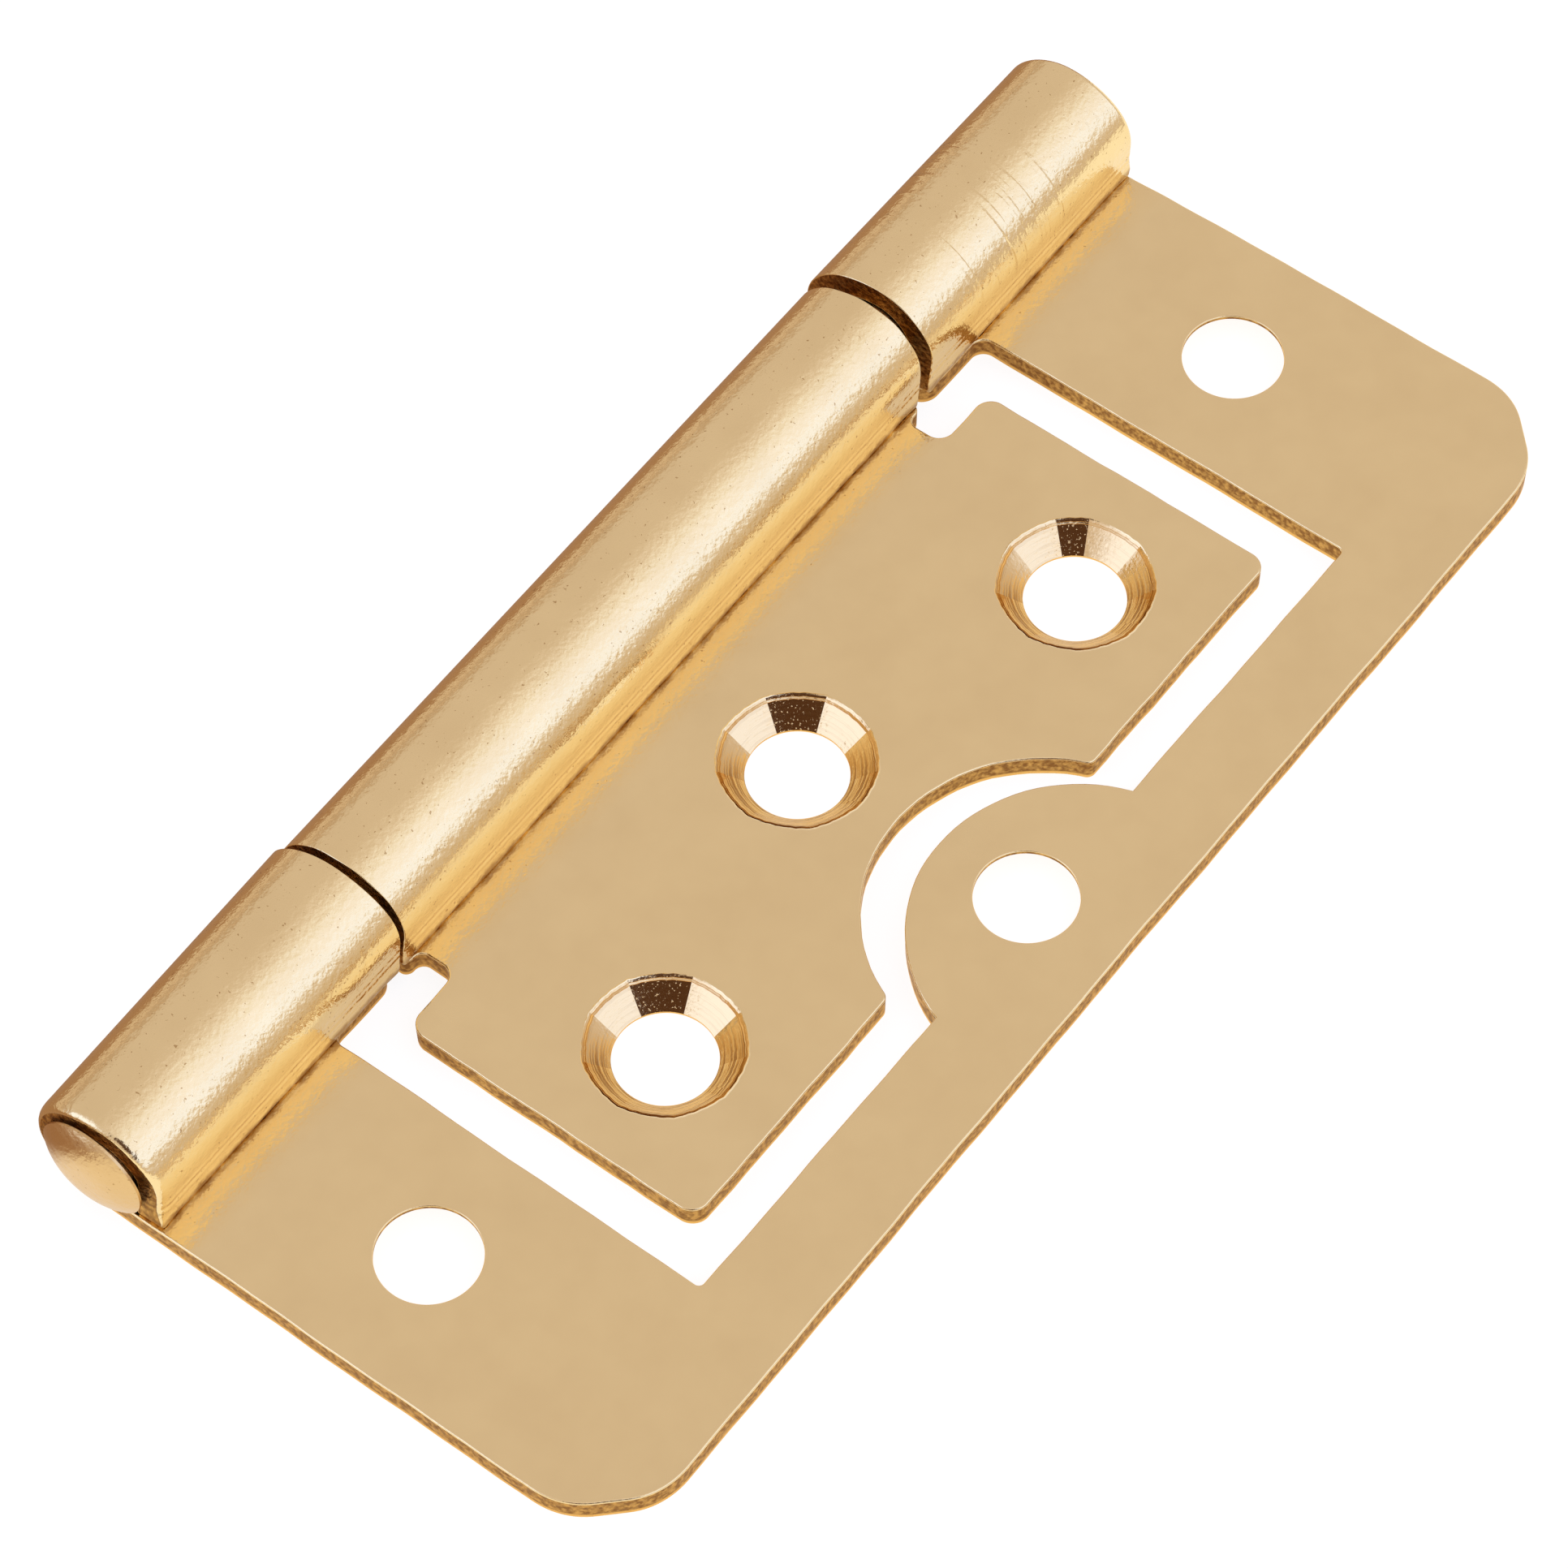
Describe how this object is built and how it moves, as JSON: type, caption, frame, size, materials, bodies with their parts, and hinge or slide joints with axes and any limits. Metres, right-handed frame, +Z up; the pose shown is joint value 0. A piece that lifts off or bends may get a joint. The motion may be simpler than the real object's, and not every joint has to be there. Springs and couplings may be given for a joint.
{
  "type": "flush hinge",
  "caption": "Flat nested hinge: a windowed outer leaf, an inner leaf that folds into its window, and a plain domed pin through rolled knuckles.",
  "frame": {"origin": "middle of the object's footprint on the surface that the backs of the leaves rest on", "axes": "+Z up from the backs of the leaves, +Y along the hinge pin from its domed head to its plain end, +X from the knuckles to the leaves' free edge"},
  "size_m": [0.0334, 0.0762, 0.007],
  "materials": {
    "leaf_plate": "electroplated, semi-bright",
    "pin_plate": "electroplated, bright"
  },
  "bodies": {
    "outer": {"outer_leaf": "leaf_plate", "hinge_pin": "pin_plate"},
    "inner": {"inner_leaf": "leaf_plate"}
  },
  "joints": [
    {"name": "pin_joint", "type": "hinge", "parent": "outer", "child": "inner", "pos_m": [-0.0132, 0.00032, 0.0035], "axis": [0, -1, 0], "continuous": true}
  ]
}
